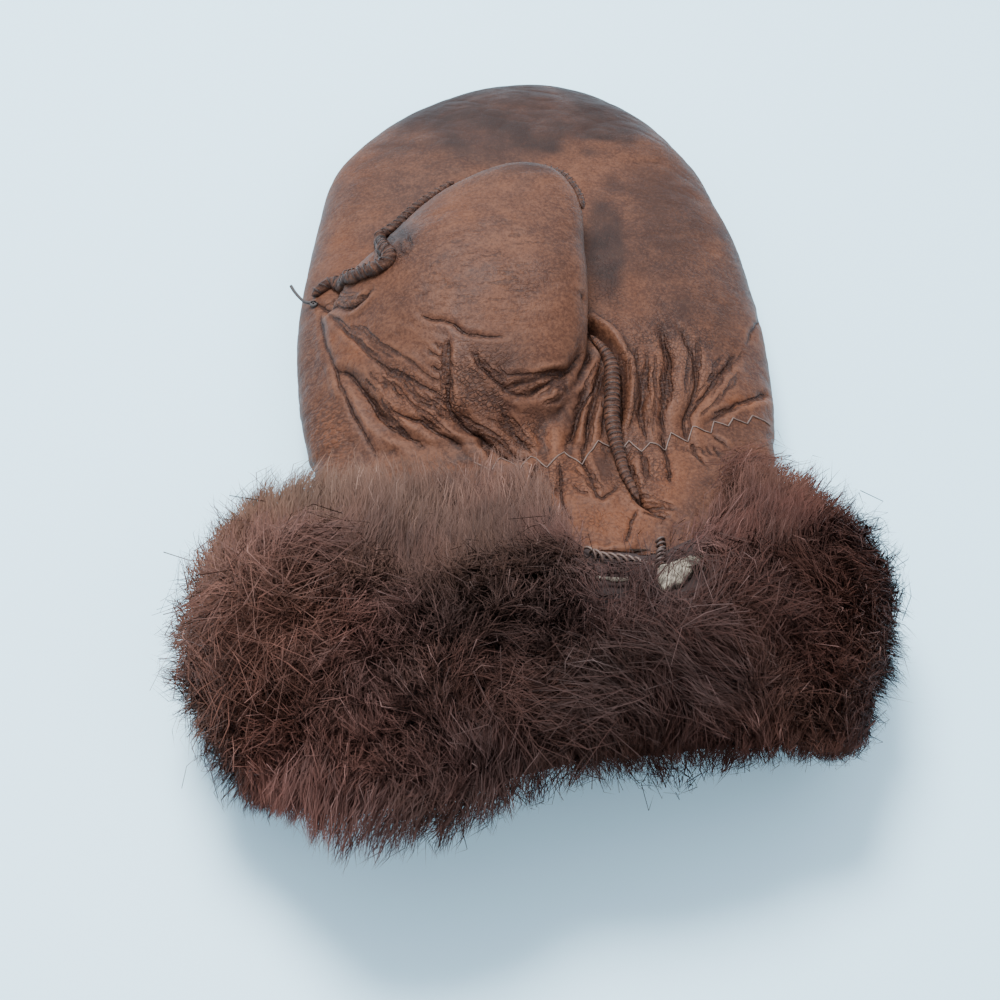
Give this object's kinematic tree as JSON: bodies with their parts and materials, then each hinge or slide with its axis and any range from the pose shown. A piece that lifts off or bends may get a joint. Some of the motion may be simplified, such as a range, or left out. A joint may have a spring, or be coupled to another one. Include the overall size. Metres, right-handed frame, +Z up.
{
  "type": "fur-cuffed leather mitten",
  "caption": "Soft brown leather mitten lying palm up, thumb folded over the palm, with overcast seams and a deep fur cuff.",
  "frame": {"origin": "middle of the mitten's bounds, on the surface it lies on", "axes": "+Y from the fur cuff to the fingertips, +Z up out of the palm, +X towards the side without the thumb"},
  "size_m": [0.1486, 0.251, 0.0495],
  "materials": {
    "leather": "soft worn sheepskin leather, satin",
    "seam_leather": "the same leather, darker and overcast with thread",
    "fur": "long brown fur, matt",
    "bare_skin": "undyed skin side of the fur strip, matt"
  },
  "bodies": {
    "root": {"back_panel": "leather", "palm_panel": "leather", "thumb_panel": "leather", "palm_seam": "seam_leather", "wrist_seam": "seam_leather", "thumb_tip_seam": "seam_leather", "fur_cuff": "fur", "skin_edge": "bare_skin"}
  },
  "joints": []
}
